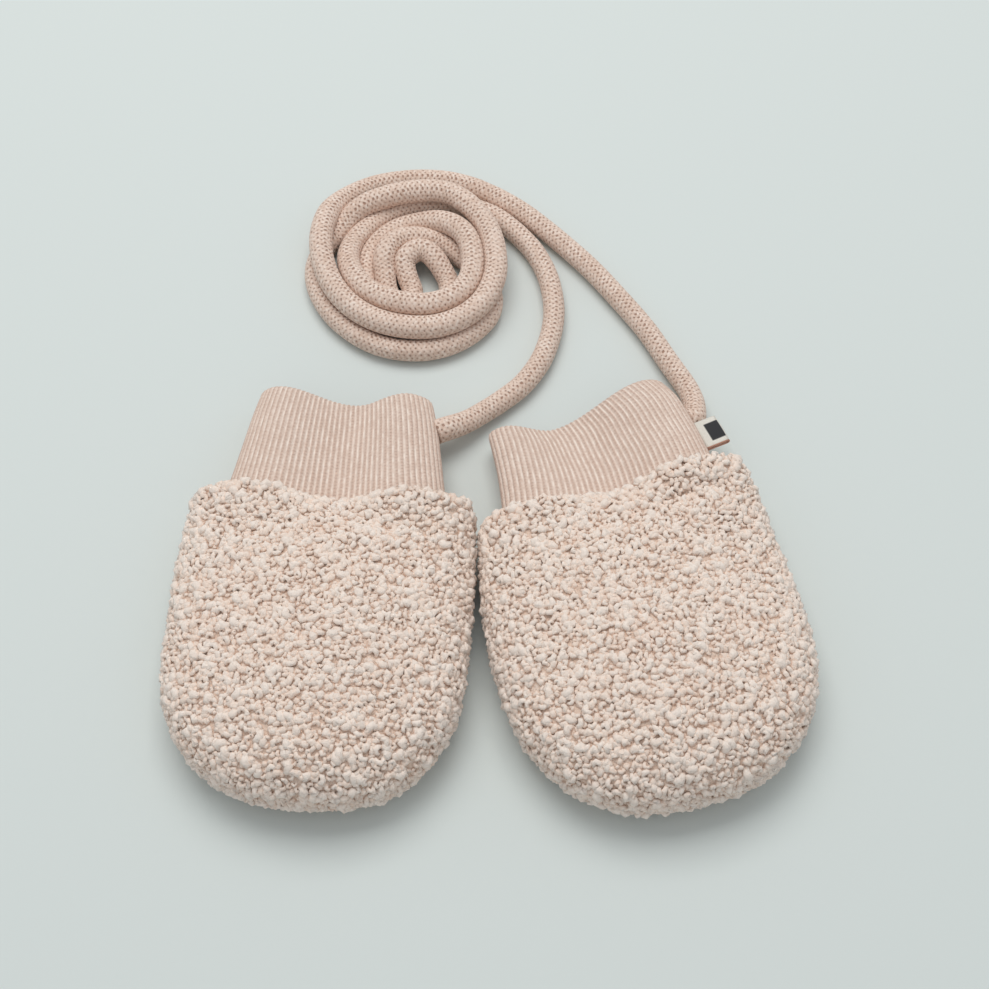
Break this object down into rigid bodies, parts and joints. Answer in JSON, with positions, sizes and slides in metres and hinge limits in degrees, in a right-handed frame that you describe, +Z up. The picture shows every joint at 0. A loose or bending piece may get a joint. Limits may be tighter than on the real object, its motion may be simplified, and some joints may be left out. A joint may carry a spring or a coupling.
{
  "type": "pair of baby mittens on a cord",
  "caption": "Thumbless baby mittens of curly teddy fleece with rib-knit cuffs, joined by a knitted cord, laid flat with the cord loosely coiled behind.",
  "frame": {"origin": "on the table, under the middle of the two mittens' box, the cord and its coil not counted", "axes": "+X across the pair, +Y from the fingertips to the cuffs, +Z up"},
  "size_m": [0.1984, 0.2479, 0.0327],
  "materials": {
    "fleece": "curly teddy pile, matt",
    "rib": "one-by-one rib knit, matt",
    "cord_knit": "tubular stocking stitch, matt",
    "label_tape": "woven tape, matt"
  },
  "bodies": {
    "root": {"left_top_panel": "fleece", "left_bottom_panel": "fleece", "left_cuff": "rib", "right_top_panel": "fleece", "right_bottom_panel": "fleece", "right_cuff": "rib", "side_label": "label_tape", "cord_left": "cord_knit", "cord_right": "cord_knit", "cord_coil": "cord_knit"}
  },
  "joints": []
}
